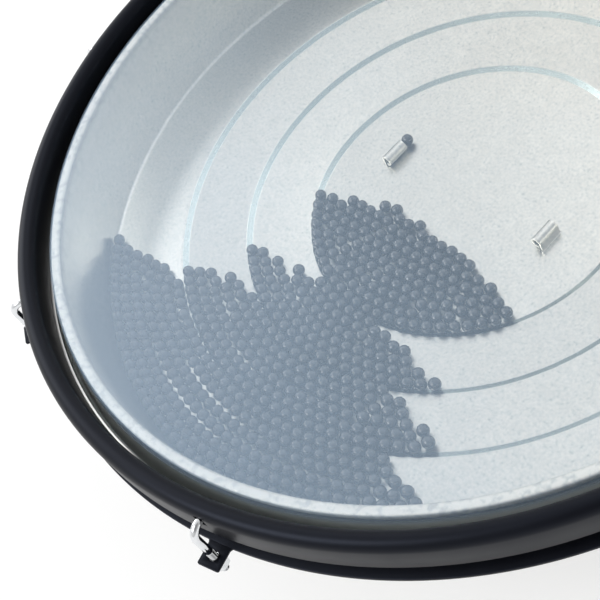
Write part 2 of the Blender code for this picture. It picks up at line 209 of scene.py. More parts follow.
# Camera, as fitted to the circles of the lid's steps in the photo
CAMERA_PLACE = (-0.36463, 0.20637, 0.51115)
CAMERA_AIM = (0.623311, -0.175341, -0.762062)
CAMERA_ROLL_DEG = -33.15
CAMERA_LENS = 75.82
CAMERA_SENSOR = 36.0
CAMERA_NEAR = 0.01


def linear(code):
    """A colour written as sRGB hex, as the linear values that the shader takes."""
    values = [int(code[i:i + 2], 16) / 255 for i in (1, 3, 5)]
    return [v / 12.92 if v <= 0.04045 else ((v + 0.055) / 1.055) ** 2.4 for v in values] + [1.0]


def node(tree, kind, inputs=None, **settings):
    """Adds a node, sets it, and links or fills its inputs."""
    made = tree.nodes.new(kind)
    for key, value in settings.items():
        setattr(made, key, value)
    for key, value in (inputs or {}).items():
        if isinstance(value, bpy.types.NodeSocket):
            tree.links.new(value, made.inputs[key])
        else:
            made.inputs[key].default_value = value
    return made


def finish(name, **fixed):
    """A new material and its shader, with the values that hold all over it."""
    material = bpy.data.materials.new(name)
    material.use_nodes = True
    shader = material.node_tree.nodes["Principled BSDF"]
    for key, value in fixed.items():
        shader.inputs[key.replace("_", " ")].default_value = value
    return material, material.node_tree, shader


def from_axis(tree, place):
    """How far a point lies from the drum's axis."""
    flat = node(tree, "ShaderNodeVectorMath", {0: place, 1: (1, 1, 0)}, operation="MULTIPLY")
    length = node(tree, "ShaderNodeVectorMath", {0: flat.outputs["Vector"]}, operation="LENGTH")
    return length.outputs["Value"]


def ramp(tree, value, low, high, at_low, at_high, shape="LINEAR"):
    """Runs from one value to another while its input runs from low to high."""
    made = node(tree, "ShaderNodeMapRange", {
        "Value": value, "From Min": low, "From Max": high, "To Min": at_low, "To Max": at_high},
        interpolation_type=shape)
    return made.outputs["Result"]


def maths(tree, operation, *values):
    made = node(tree, "ShaderNodeMath", dict(enumerate(values)), operation=operation)
    return made.outputs["Value"]


def blend(tree, share, one, two):
    made = node(tree, "ShaderNodeMix", {"Factor": share, "A": one, "B": two}, data_type="RGBA")
    return made.outputs["Result"]


def noise(tree, place, size, detail):
    """Noise with grains of about this size."""
    made = node(tree, "ShaderNodeTexNoise", {"Vector": place, "Scale": 1 / size, "Detail": detail})
    return made.outputs["Fac"]


def between(tree, radius, zone, most=1.0):
    """Comes in over the zone's first two radii and goes out over its last two."""
    starts, full, fades, ends = zone
    coming = ramp(tree, radius, starts, full, 0.0, most)
    return maths(tree, "MULTIPLY", coming, ramp(tree, radius, fades, ends, 1.0, 0.0))


def galvanised_steel():
    # Hot-dip zinc on sheet steel: pale satin metal with a fine grain and dark specks of dross,
    # polished where the risers were drawn, and coloured darker and bluer there as painted shade;
    # dull and blotched where the lip was rolled, with a painted dark line of shade at its inner edge.
    material, tree, shader = finish("galvanised_sheet_steel")
    space = node(tree, "ShaderNodeTexCoord").outputs
    place = space["Object"]
    radius = from_axis(tree, place)
    upward = node(tree, "ShaderNodeSeparateXYZ", {"Vector": space["Normal"]}).outputs["Z"]
    steep = ramp(tree, maths(tree, "ABSOLUTE", upward), 0.89, 0.97, 1.0, 0.0)
    drawn_and_shaded = maths(tree, "MULTIPLY", steep, between(tree, radius, RISER_ZONE))
    lip = ramp(tree, radius, *LIP_ZONE, 0.0, 1.0)
    crystals = node(tree, "ShaderNodeTexVoronoi", {"Vector": place, "Scale": 1 / (5 * MM)})
    tone = node(tree, "ShaderNodeSeparateColor", {"Color": crystals.outputs["Color"]}).outputs["Red"]
    grain = noise(tree, place, 1.5 * MM, 2.0)
    blotches = ramp(tree, noise(tree, place, 3 * MM, 3.0), 0.48, 0.64, 0.0, 0.6)
    zinc = blend(tree, tone, linear("#DFDCD3"), linear("#E4E1D8"))
    grained = blend(tree, ramp(tree, grain, 0.35, 0.65, 0.5, 0.0), zinc, linear("#C3C7C3"))
    speckled = blend(tree, ramp(tree, grain, 0.25, 0.36, 0.45, 0.0), grained, linear("#9BA1A0"))
    # Painted shade: the risers' steep faces are coloured darker and bluer in place of their shade.
    riser_shaded = blend(tree, drawn_and_shaded, speckled, linear("#A3B1AF"))
    dulled = blend(tree, lip, riser_shaded, linear("#DCD8CE"))
    rolled = blend(tree, maths(tree, "MULTIPLY", lip, blotches), dulled, linear("#A9ABA6"))
    # Painted shade: a thin dark ring at the lip's inner edge, where it turns down into the wall.
    lip_shade_lined = blend(tree, between(tree, radius, LIP_SHADE_LINE, 0.4), rolled, linear("#6E7473"))
    polished = maths(tree, "MULTIPLY_ADD", drawn_and_shaded, -0.04, ramp(tree, tone, 0.0, 1.0, 0.28, 0.31))
    tree.links.new(lip_shade_lined, shader.inputs["Base Color"])
    tree.links.new(ramp(tree, lip, 0.0, 1.0, 1.0, 0.45), shader.inputs["Metallic"])
    tree.links.new(maths(tree, "MULTIPLY_ADD", lip, 0.28, polished), shader.inputs["Roughness"])
    return material


def black_paint():
    # Baked black paint on rolled steel: very dark, half gloss, with a slight orange peel.
    material, tree, shader = finish(
        "baked_black_paint", Specular_IOR_Level=0.2, Specular_Tint=linear("#D6E2FF"))
    place = node(tree, "ShaderNodeTexCoord").outputs["Object"]
    peel = noise(tree, place, 1.6 * MM, 2.0)
    rub = noise(tree, place, 18 * MM, 4.0)
    bump = node(tree, "ShaderNodeBump", {"Height": peel, "Strength": 0.10, "Distance": 0.04 * MM})
    tree.links.new(blend(tree, rub, linear("#050508"), linear("#0B0C11")), shader.inputs["Base Color"])
    tree.links.new(ramp(tree, rub, 0.0, 1.0, 0.36, 0.46), shader.inputs["Roughness"])
    tree.links.new(bump.outputs["Normal"], shader.inputs["Normal"])
    return material


def chrome_plate():
    # Bright nickel-chrome on bent wire: a near mirror with faint handling marks.
    material, tree, shader = finish("bright_chrome_plate", Metallic=1.0)
    place = node(tree, "ShaderNodeTexCoord").outputs["Object"]
    marks = noise(tree, place, 2.5 * MM, 4.0)
    tree.links.new(blend(tree, marks, linear("#D9DCDF"), linear("#ECEDEE")), shader.inputs["Base Color"])
    tree.links.new(ramp(tree, marks, 0.0, 1.0, 0.05, 0.17), shader.inputs["Roughness"])
    return material


def drawn_aluminium():
    # Extruded channel, left bare: bright, with die lines that run round the hoop.
    material, tree, shader = finish("drawn_aluminium", Metallic=1.0)
    place = node(tree, "ShaderNodeTexCoord").outputs["Object"]
    height = node(tree, "ShaderNodeSeparateXYZ", {"Vector": place}).outputs["Z"]
    across = node(tree, "ShaderNodeCombineXYZ", {"X": from_axis(tree, place), "Y": height})
    lines = noise(tree, across.outputs["Vector"], 0.5 * MM, 2.0)
    tree.links.new(blend(tree, lines, linear("#D2D2D0"), linear("#EAEAE8")), shader.inputs["Base Color"])
    tree.links.new(ramp(tree, lines, 0.0, 1.0, 0.22, 0.38), shader.inputs["Roughness"])
    return material


def clear_film():
    # Clear polyester drum film: see-through, with a cool milky haze from stretching and use,
    # thickened towards one side as a painted reflection of the studio light; whitened where it is
    # drawn down, and there also painted paler and greyer as a reflection on the collar.
    material, tree, shader = finish("clear_polyester_film", Roughness=0.22, IOR=1.6)
    place = node(tree, "ShaderNodeTexCoord").outputs["Object"]
    # Painted reflection: the haze thickens towards one side in place of light reflected by the film.
    side = node(tree, "ShaderNodeVectorMath", {0: place, 1: HAZE_AND_REFLECTION_SIDE}, operation="DOT_PRODUCT")
    haze_and_reflection = ramp(tree, side.outputs["Value"], *HAZE_AND_REFLECTION_REACH, *HAZE_AND_REFLECTION)
    clouds = ramp(tree, noise(tree, place, 70 * MM, 3.0), 0.0, 1.0, -0.02, 0.02)
    veil_and_reflection = maths(tree, "ADD", haze_and_reflection, clouds)
    # Whitening of the stretched collar, also painted paler and greyer there as a painted reflection.
    strained_and_reflection = ramp(tree, from_axis(tree, place), *STRAIN_AND_REFLECTION_ZONE, 0.0, 1.0)
    whitened_and_reflection = maths(tree, "ADD", veil_and_reflection, ramp(tree, strained_and_reflection, 0.0, 1.0, 0.0, 0.42))
    tree.links.new(blend(tree, strained_and_reflection, linear("#C8E2FB"), linear("#BEC6C4")), shader.inputs["Base Color"])
    tree.links.new(whitened_and_reflection, shader.inputs["Alpha"])
    return material


def moulded_pellet():
    # Injection-moulded plastic pellets: near black with a soft gloss, no two quite the same tone.
    material, tree, shader = finish("moulded_plastic_pellet", IOR=1.55, Specular_IOR_Level=0.8)
    place = node(tree, "ShaderNodeTexCoord").outputs["Object"]
    tone = node(tree, "ShaderNodeAttribute", attribute_name="pellet_tone").outputs["Fac"]
    dust = noise(tree, place, 1.5 * MM, 3.0)
    tree.links.new(blend(tree, tone, linear("#121416"), linear("#1E2125")), shader.inputs["Base Color"])
    tree.links.new(ramp(tree, dust, 0.0, 1.0, 0.09, 0.16), shader.inputs["Roughness"])
    return material


def arc(centre, radius, start_deg, end_deg, steps, rise=None):
    rise = radius if rise is None else rise
    points = []
    for i in range(steps + 1):
        angle = math.radians(start_deg + (end_deg - start_deg) * i / steps)
        points.append((centre[0] + radius * math.cos(angle), centre[1] + rise * math.sin(angle)))
    return points


def eased(points, reach, steps=4):
    """A line of points with its corners rounded off."""
    line = [points[0]]
    for before, corner, after in zip(points, points[1:], points[2:]):
        corner = Vector(corner)
        start = corner + (Vector(before) - corner).normalized() * reach
        end = corner + (Vector(after) - corner).normalized() * reach
        for i in range(steps + 1):
            t = i / steps
            line.append(tuple(start.lerp(corner, t).lerp(corner.lerp(end, t), t)))
    return line + [points[-1]]


def floor_line():
    """The lid's stepped floor from its centre to the foot of the wall."""
    points = [(0.0, 0.0)]
    for radius, height in RISER_FEET:
        points += [(radius, height), (radius + RISER_RUN, height + RISER_RISE)]
    return points + [FLOOR_EDGE]


def floor_height(radius):
    line = floor_line()
    return float(np.interp(radius, [p[0] for p in line], [p[1] for p in line]))


def plain_mesh(obj):
    """The object's modifiers worked out to a plain mesh, doubles merged and faces outward."""
    graph = bpy.context.evaluated_depsgraph_get()
    graph.update()
    mesh = bpy.data.meshes.new_from_object(obj.evaluated_get(graph))
    bpy.data.objects.remove(obj, do_unlink=True)
    bm = bmesh.new()
    bm.from_mesh(mesh)
    bmesh.ops.remove_doubles(bm, verts=bm.verts, dist=0.002 * MM)
    bmesh.ops.recalc_face_normals(bm, faces=bm.faces)
    bm.to_mesh(mesh)
    bm.free()
    return mesh


def add_object(name, data):
    obj = bpy.data.objects.new(name, data)
    bpy.context.scene.collection.objects.link(obj)
    return obj


def mesh_from(name, bm):
    mesh = bpy.data.meshes.new(name)
    bm.to_mesh(mesh)
    bm.free()
    return mesh


def turned(name, points, closed=False, base=FLOOR_Z, steps=ROUND):
    """A profile turned round the drum's axis, still to get its thickness or cuts."""
    mesh = bpy.data.meshes.new(name)
    edges = [(i, i + 1) for i in range(len(points) - 1)]
    if closed:
        edges.append((len(points) - 1, 0))
    mesh.from_pydata([(r, 0.0, base + z) for r, z in points], edges, [])
    obj = add_object(name, mesh)
    screw = obj.modifiers.new("turn", "SCREW")
    screw.steps = steps
    screw.render_steps = steps
    screw.use_merge_vertices = True
    screw.merge_threshold = 0.01 * MM
    return obj


def thicken(obj, sheet, side):
    solidify = obj.modifiers.new("sheet", "SOLIDIFY")
    solidify.thickness = sheet
    solidify.offset = side
    solidify.use_even_offset = True


def round_edges(obj, width, segments=2, angle_deg=50):
    bevel = obj.modifiers.new("edges", "BEVEL")
    bevel.width = width
    bevel.segments = segments
    bevel.limit_method = "ANGLE"
    bevel.angle_limit = math.radians(angle_deg)


def combine(obj, mesh, operation):
    """Cuts or joins with another closed mesh, at once."""
    tool = add_object("tool", mesh)
    boolean = obj.modifiers.new("tool", "BOOLEAN")
    boolean.operation = operation
    boolean.object = tool
    boolean.solver = "EXACT"
    done = add_object(obj.name, plain_mesh(obj))
    bpy.data.objects.remove(tool, do_unlink=True)
    return done


def plate(outline, low, high):
    """A closed flat outline (x, y) as a plate from one height to another."""
    bm = bmesh.new()
    face = bm.faces.new([bm.verts.new((x, y, low)) for x, y in outline])
    top = bmesh.ops.extrude_face_region(bm, geom=[face])["geom"]
    lifted = [v for v in top if isinstance(v, bmesh.types.BMVert)]
    bmesh.ops.translate(bm, vec=(0, 0, high - low), verts=lifted)
    bmesh.ops.recalc_face_normals(bm, faces=bm.faces)
    return mesh_from("plate", bm)


def box(size, matrix):
    bm = bmesh.new()
    bmesh.ops.create_cube(bm, size=1.0)
    bmesh.ops.scale(bm, vec=size, verts=bm.verts)
    bmesh.ops.transform(bm, matrix=matrix, verts=bm.verts)
    return mesh_from("box", bm)


def swept(stations, sides):
    """A round bar along (radius, height, half thickness) stations in the XZ plane, ends closed."""
    bm = bmesh.new()
    rings = []
    for i, (r, z, thick) in enumerate(stations):
        before = Vector(stations[max(i - 1, 0)][:2])
        after = Vector(stations[min(i + 1, len(stations) - 1)][:2])
        along = (after - before).normalized()
        ring = []
        for k in range(sides):
            angle = math.tau * k / sides
            out = thick * math.cos(angle)
            across = thick * math.sin(angle)
            ring.append(bm.verts.new((r - along.y * out, across, FLOOR_Z + z + along.x * out)))
        rings.append(ring)
    for one, two in zip(rings, rings[1:]):
        for k in range(sides):
            bm.faces.new((one[k], one[k - 1], two[k - 1], two[k]))
    bm.faces.new(rings[0])
    bm.faces.new(rings[-1])
    bmesh.ops.recalc_face_normals(bm, faces=bm.faces)
    return mesh_from("swept", bm)


def new_tree(name, inputs):
    """A Geometry Nodes tree with its inputs, and its group input and output."""
    tree = bpy.data.node_groups.new(name, "GeometryNodeTree")
    tree.interface.new_socket("Geometry", in_out="INPUT", socket_type="NodeSocketGeometry")
    for label, kind in inputs:
        tree.interface.new_socket(label, in_out="INPUT", socket_type=kind)
    tree.interface.new_socket("Geometry", in_out="OUTPUT", socket_type="NodeSocketGeometry")
    return tree, node(tree, "NodeGroupInput").outputs


def run_tree(name, mesh, tree, values):
    """The plain mesh that a Geometry Nodes tree makes from a mesh."""
    obj = add_object(name, mesh)
    modifier = obj.modifiers.new(tree.name, "NODES")
    modifier.node_group = tree
    for item in tree.interface.items_tree:
        if item.in_out == "INPUT" and item.name in values:
            modifier[item.identifier] = values[item.name]
    return plain_mesh(obj)


def end_tree(tree, copies, material):
    """Makes the copies real, gives them their material and hands them out."""
    real = node(tree, "GeometryNodeRealizeInstances", {"Geometry": copies})
    painted = node(tree, "GeometryNodeSetMaterial", {
        "Geometry": real.outputs["Geometry"], "Material": material})
    node(tree, "NodeGroupOutput", {"Geometry": painted.outputs["Geometry"]})


def lug_ring_tree():
    """Copies of one lug's piece round the hoop."""
    tree, given = new_tree("ring_of_lugs", (
        ("Count", "NodeSocketInt"),
        ("First Angle", "NodeSocketFloat"),
        ("Material", "NodeSocketMaterial"),
    ))
    points = node(tree, "GeometryNodePoints", {"Count": given["Count"]})
    step = maths(tree, "DIVIDE", math.tau, given["Count"])
    index = node(tree, "GeometryNodeInputIndex").outputs["Index"]
    turn = maths(tree, "MULTIPLY_ADD", index, step, given["First Angle"])
    spin = node(tree, "ShaderNodeCombineXYZ", {"Z": turn})
    copies = node(tree, "GeometryNodeInstanceOnPoints", {
        "Points": points.outputs["Points"],
        "Instance": given["Geometry"],
        "Rotation": spin.outputs["Vector"],
    })
    end_tree(tree, copies.outputs["Instances"], given["Material"])
    return tree


def bead_bed_tree():
    """A pellet on every point, each turned and toned by chance."""
    tree, given = new_tree("bed_of_pellets", (
        ("Diameter", "NodeSocketFloat"),
        ("Seed", "NodeSocketInt"),
        ("Material", "NodeSocketMaterial"),
    ))
    half = maths(tree, "MULTIPLY", given["Diameter"], 0.5)
    ball = node(tree, "GeometryNodeMeshIcoSphere", {"Radius": half, "Subdivisions": 2})
    smooth = node(tree, "GeometryNodeSetShadeSmooth", {"Geometry": ball.outputs["Mesh"]})
    tumble = node(tree, "FunctionNodeRandomValue", {
        "Max": (math.tau, math.tau, math.tau), "Seed": given["Seed"]}, data_type="FLOAT_VECTOR")
    copies = node(tree, "GeometryNodeInstanceOnPoints", {
        "Points": given["Geometry"],
        "Instance": smooth.outputs["Geometry"],
        "Rotation": tumble.outputs[0],
    })
    chance = node(tree, "FunctionNodeRandomValue", {"Seed": given["Seed"]}, data_type="FLOAT")
    toned = node(tree, "GeometryNodeStoreNamedAttribute", {
        "Geometry": copies.outputs["Instances"], "Name": "pellet_tone", "Value": chance.outputs[1]},
        data_type="FLOAT", domain="INSTANCE")
    end_tree(tree, toned.outputs["Geometry"], given["Material"])
    return tree


def piece(name, mesh, body, nodes, material, sharp_deg=40):
    """A finished piece: smooth shaded, riding its body, standing for its nodes."""
    mesh.name = name
    mesh.materials.clear()
    mesh.materials.append(material)
    mesh.shade_smooth()
    mesh.set_sharp_from_angle(angle=math.radians(sharp_deg))
    obj = add_object(name, mesh)
    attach(obj, body)
    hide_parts(*nodes)
    return obj


def handle_place():
    """Where the handle lies: a little off the centre and askew."""
    skew = Matrix.Rotation(math.radians(HANDLE_SKEW_DEG), 4, "Z")
    return Matrix.Translation((0, HANDLE_SHIFT, 0)) @ skew


def lip_line():
    """The lid's rolled lip, pressed flat on top where the film lies."""
    inner = (LIP_CENTRE[0] - LIP_RADIUS + LIP_TURN, LIP_CENTRE[1] + LIP_RADIUS - LIP_TURN)
    line = arc(inner, LIP_TURN, 180, 90, 8) + arc(LIP_EDGE, LIP_CORNER, 90, 0, 6)
    return line + arc(LIP_CENTRE, LIP_RADIUS, 0, LIP_CURL_DEG, 10)[1:]


def make_lid(zinc):
    corner = (CORNER_CENTRE, FLOOR_EDGE[1] + CORNER_RADIUS)
    points = eased(floor_line(), RISER_EASE)
    points += arc(corner, CORNER_RADIUS, *CORNER_DEG, 8)
    points += lip_line()
    lid = turned("lid_dish", points)
    thicken(lid, LID_SHEET, -1)
    for side in (-1, 1):
        spot = handle_place() @ Matrix.Translation((side * TAB_X, 0, FLOOR_Z))
        lid = combine(lid, box(TAB_SLOT, spot), "DIFFERENCE")
    piece("lid_dish", plain_mesh(lid), "lid", ["lid_shell"], zinc)


def handle_stations():
    """The strap's middle line, rounded: (x, z, half width, how far its edges turn up)."""
    knots = [
        (0.000, STRAP_BOTTOM, GRIP_HALF_WIDTH, GRIP_EDGE_TURN),
        (0.030, STRAP_BOTTOM, GRIP_HALF_WIDTH, GRIP_EDGE_TURN),
        (0.036, STRAP_BOTTOM + 0.002, GRIP_HALF_WIDTH * 0.94, GRIP_EDGE_TURN * 0.7),
        (0.041, STRAP_BOTTOM + 0.007, GRIP_HALF_WIDTH * 0.82, GRIP_EDGE_TURN * 0.3),
        (TAB_X - 0.002, -LID_SHEET - 0.010, TAB_HALF_WIDTH, 0.0),
        (TAB_X, -LID_SHEET - 0.006, TAB_HALF_WIDTH, 0.0),
        (TAB_X, TAB_CURL_HEIGHT, TAB_HALF_WIDTH, 0.0),
    ]
    half = []
    for i in range(1, len(knots) - 2):
        a, b, c, d = (np.array(knots[j]) for j in range(i - 1, i + 3))
        for t in np.arange(0, 1, 0.125):
            half.append(0.5 * (2 * b + (c - a) * t + (2 * a - 5 * b + 4 * c - d) * t * t
                               + (3 * b - a - 3 * c + d) * t ** 3))
    half.append(np.array(knots[-2]))
    centre = (TAB_X - TAB_CURL_RADIUS, TAB_CURL_HEIGHT)
    for x, z in arc(centre, TAB_CURL_RADIUS, 0, TAB_CURL_DEG, 28):
        half.append(np.array((x, z, TAB_HALF_WIDTH, 0.0)))
    return [p * (-1, 1, 1, 1) for p in half[::-1]] + half


def make_handle(zinc):
    verts = []
    faces = []
    rows = handle_stations()
    for x, z, half, edge in rows:
        for k in range(STRAP_COLUMNS):
            across = 2 * k / (STRAP_COLUMNS - 1) - 1
            bent = max(0.0, (abs(across) - GRIP_FLAT_SHARE) / (1 - GRIP_FLAT_SHARE))
            verts.append((x, across * half, FLOOR_Z + z + edge * bent ** 2))
    for row in range(len(rows) - 1):
        for k in range(STRAP_COLUMNS - 1):
            a = STRAP_COLUMNS * row + k
            b = a + STRAP_COLUMNS
            faces.append((a, b, b + 1, a + 1))
    mesh = bpy.data.meshes.new("strap_handle")
    mesh.from_pydata(verts, [], faces)
    mesh.transform(handle_place())
    strap = add_object("strap_handle", mesh)
    thicken(strap, STRAP_SHEET, 0)
    round_edges(strap, STRAP_EDGE)
    piece("strap_handle", plain_mesh(strap), "lid", ["lid_handle"], zinc)


def make_film(material):
    over_lip = LIP_CORNER + GAP
    run = COLLAR_FOOT - LIP_EDGE[0]
    drop = FILM_FLANGE_HEIGHT - LIP_EDGE[1]
    leave = math.atan2(drop, run) + math.acos(over_lip / math.hypot(run, drop))
    points = [(0.0, LIP_EDGE[1] + over_lip), (FILM_MIDDLE, LIP_EDGE[1] + over_lip)]
    points += arc(LIP_EDGE, over_lip, 90, math.degrees(leave), 12)
    points += [(COLLAR_FOOT, FILM_FLANGE_HEIGHT), (FILM_FLANGE_EDGE, FILM_FLANGE_HEIGHT)]
    film = turned("drum_film", points)
    thicken(film, FILM, 1)
    piece("drum_film", plain_mesh(film), "head", ["film_head"], material)


def make_flesh_hoop(aluminium):
    low = FILM_FLANGE_HEIGHT - GAP
    high = FILM_FLANGE_HEIGHT + FILM + GAP
    end = FILM_FLANGE_EDGE + GAP
    points = [
        (FLESH_INNER, FLESH_TOP), (FLESH_OUTER, FLESH_TOP), (FLESH_OUTER, FLESH_BOTTOM),
        (FLESH_INNER, FLESH_BOTTOM), (FLESH_INNER, low), (end, low), (end, high), (FLESH_INNER, high),
    ]
    hoop = turned("film_channel", points, closed=True)
    turn = Matrix.Rotation(math.radians(FLESH_SEAM_DEG), 4, "Z")
    seam = turn @ Matrix.Translation((FLESH_OUTER, 0, FLOOR_Z + FLESH_TOP))
    hoop = combine(hoop, box(FLESH_SEAM, seam), "DIFFERENCE")
    round_edges(hoop, FLESH_EDGE)
    piece("film_channel", plain_mesh(hoop), "head", ["flesh_hoop"], aluminium)


def lug_inputs(material):
    return {"Count": LUGS, "First Angle": math.radians(FIRST_LUG_DEG), "Material": material}


def make_counter_hoop(ring_of_lugs, black):
    middle = (HOOP_INNER + HOOP_OUTER) / 2
    half = (HOOP_OUTER - HOOP_INNER) / 2
    points = [(HOOP_INNER, FLESH_TOP + GAP), (HOOP_INNER, HOOP_SPRING - HOOP_STRAIGHT)]
    points += arc((middle, HOOP_SPRING), half, 180, 0, 24, HOOP_CROWN)
    points += [(HOOP_OUTER, HOOP_SPRING - HOOP_STRAIGHT), (HOOP_OUTER, HOOP_SKIRT_BOTTOM)]
    hoop = turned("counter_hoop_band", points)
    thicken(hoop, HOOP_SHEET, -1)
    round_edges(hoop, HOOP_EDGE)
    inside = HOOP_OUTER - 2 * HOOP_SHEET
    outside = HOOP_OUTER + HOOP_SHEET
    side = HOOK_WIRE + GAP
    outline = [(inside, -side), (outside, -side), (outside, side), (inside, side)]
    slot = plate(outline, FLOOR_Z + HOOK_SLOT[0], FLOOR_Z + HOOK_SLOT[1])
    hoop = combine(hoop, run_tree("slots", slot, ring_of_lugs, lug_inputs(black)), "DIFFERENCE")
    piece("counter_hoop_band", plain_mesh(hoop), "head", ["counter_hoop"], black)


def make_clamp_ring(ring_of_lugs, black):
    top = LIP_CENTRE[1] - LIP_RADIUS - GAP
    bottom = CLAMP_FLANGE_TOP - CLAMP_SHEET
    upstand = CLAMP_INNER + CLAMP_SHEET
    points = [(CLAMP_INNER, top), (upstand, top)]
    points += arc((upstand + CLAMP_BEND, CLAMP_FLANGE_TOP + CLAMP_BEND), CLAMP_BEND, 180, 270, 5)
    points += [(CLAMP_OUTER, CLAMP_FLANGE_TOP), (CLAMP_OUTER, bottom)]
    points += arc((CLAMP_INNER + CLAMP_BEND, bottom + CLAMP_BEND), CLAMP_BEND, 270, 180, 5)
    ring = turned("clamp_ring_band", points, closed=True)
    round_edges(ring, CLAMP_EDGE)
    half = EAR_HALF_WIDTH
    side = [(CLAMP_OUTER - EAR_ROOT, 2 * half), (CLAMP_OUTER, 1.1 * half), (CLAMP_OUTER + EAR_CORNER, half)]
    side += arc((EAR_TIP - EAR_CORNER, half - EAR_CORNER), EAR_CORNER, 90, 0, 5)
    tab = [(r, -across) for r, across in side] + side[::-1]
    low = FLOOR_Z + bottom + GAP
    ear = add_object("ear", plate(tab, low, low + CLAMP_SHEET - 2 * GAP))
    rim = arc((ROD_RADIUS, 0.0), ROD_HOLE, 0, 345, 23)
    ear = combine(ear, plate(rim, low - CUT_PAST, low + CLAMP_SHEET + CUT_PAST), "DIFFERENCE")
    round_edges(ear, EAR_EDGE)
    ears = run_tree("ears", plain_mesh(ear), ring_of_lugs, lug_inputs(black))
    ring = combine(ring, ears, "UNION")
    piece("clamp_ring_band", plain_mesh(ring), "lid", ["clamp_ring"], black)


def make_hooks(ring_of_lugs, chrome):
    """J-hooks of plated wire with a rolled thread, their tips through the hoop's slots."""
    inner = HOOK_BEND_CENTRE[0] - HOOK_BEND
    stations = [(inner, HOOK_TIP + above, thick) for above, thick in HOOK_TIP_ROUND]
    stations += [(r, z, HOOK_WIRE) for r, z in arc(HOOK_BEND_CENTRE, HOOK_BEND, 180, 0, 16)]
    height = THREAD_TOP
    stations.append((ROD_RADIUS, height + THREAD_SHOULDER, HOOK_WIRE))
    while height > HOOK_END + THREAD_PITCH:
        stations.append((ROD_RADIUS, height, HOOK_WIRE - THREAD_DEPTH))
        stations.append((ROD_RADIUS, height - THREAD_PITCH / 2, HOOK_WIRE))
        height -= THREAD_PITCH
    stations.append((ROD_RADIUS, HOOK_END, HOOK_END_HALF))
    mesh = run_tree("hooks", swept(stations, HOOK_SIDES), ring_of_lugs, lug_inputs(chrome))
    names = [f"tension_hook_{i + 1}" for i in range(LUGS)]
    piece("tension_hooks", mesh, "head", names, chrome, 30)


def make_washers(ring_of_lugs, chrome):
    outline = [
        (ROD_HOLE, -WASHER_SHEET), (ROD_HOLE, 0.0), (WASHER_RADIUS, 0.0), (WASHER_RADIUS, -WASHER_SHEET)]
    disc = turned("washer", outline, closed=True, base=0.0, steps=40)
    round_edges(disc, WASHER_EDGE)
    mesh = plain_mesh(disc)
    top = CLAMP_FLANGE_TOP - CLAMP_SHEET - GAP
    mesh.transform(Matrix.Translation((ROD_RADIUS, 0, FLOOR_Z + top)))
    mesh = run_tree("washers", mesh, ring_of_lugs, lug_inputs(chrome))
    names = [f"tension_washer_{i + 1}" for i in range(LUGS)]
    piece("tension_washers", mesh, "lid", names, chrome)


def nut_mesh():
    """A hexagon nut with chamfered corners and a bore that opens at both mouths."""
    low = -NUT_HEIGHT
    shoulder, chamfer = NUT_CHAMFER
    outside = [
        (0.0, low), (NUT_FLATS / 2, low), (shoulder, low + chamfer),
        (shoulder, -chamfer), (NUT_FLATS / 2, 0.0), (0.0, 0.0)]
    bore = [
        (0.0, low - CUT_PAST), (NUT_MOUTH, low - CUT_PAST), (NUT_BORE, low + NUT_MOUTH_DEPTH),
        (NUT_BORE, -NUT_MOUTH_DEPTH), (NUT_MOUTH, CUT_PAST), (0.0, CUT_PAST)]
    nut = add_object("nut", plate(arc((0, 0), NUT_FLATS / math.sqrt(3), 0, 300, 5), low, 0.0))
    nut = combine(nut, plain_mesh(turned("chamfer", outside, base=0.0, steps=48)), "INTERSECT")
    nut = combine(nut, plain_mesh(turned("bore", bore, base=0.0, steps=32)), "DIFFERENCE")
    return plain_mesh(nut)


def make_nuts(chrome):
    top = CLAMP_FLANGE_TOP - CLAMP_SHEET - WASHER_SHEET - 2 * GAP
    mesh = nut_mesh()
    mesh.transform(Matrix.Translation((ROD_RADIUS, 0, FLOOR_Z + top)))
    for i in range(LUGS):
        one = mesh.copy()
        one.transform(Matrix.Rotation(math.radians(FIRST_LUG_DEG + 360 / LUGS * i), 4, "Z"))
        name = f"tension_nut_{i + 1}"
        piece(f"hex_nut_{i + 1}", one, name, [name], chrome, 25)


def spread(spots, fixed, innermost, outermost, passes):
    """Pushes pellets that overlap apart, and back between the walls of their level."""
    everything = np.concatenate([spots, fixed])
    free = len(spots)
    apart = everything[:, None] - everything[None]
    one, two = np.nonzero(np.triu(np.hypot(apart[..., 0], apart[..., 1]) < 1.5 * BEAD_PITCH, 1))
    for _ in range(passes):
        apart = everything[one] - everything[two]
        gap = np.hypot(apart[:, 0], apart[:, 1])
        push = apart * (np.maximum(BEAD_PITCH - gap, 0.0) / gap / 2)[:, None]
        for axis in (0, 1):
            everything[:, axis] += np.bincount(one, push[:, axis], len(everything))
            everything[:, axis] -= np.bincount(two, push[:, axis], len(everything))
        radius = np.hypot(everything[:free, 0], everything[:free, 1])
        everything[:free] *= (np.clip(radius, innermost, outermost) / radius)[:, None]
        everything[free:] = fixed
    return everything[:free]


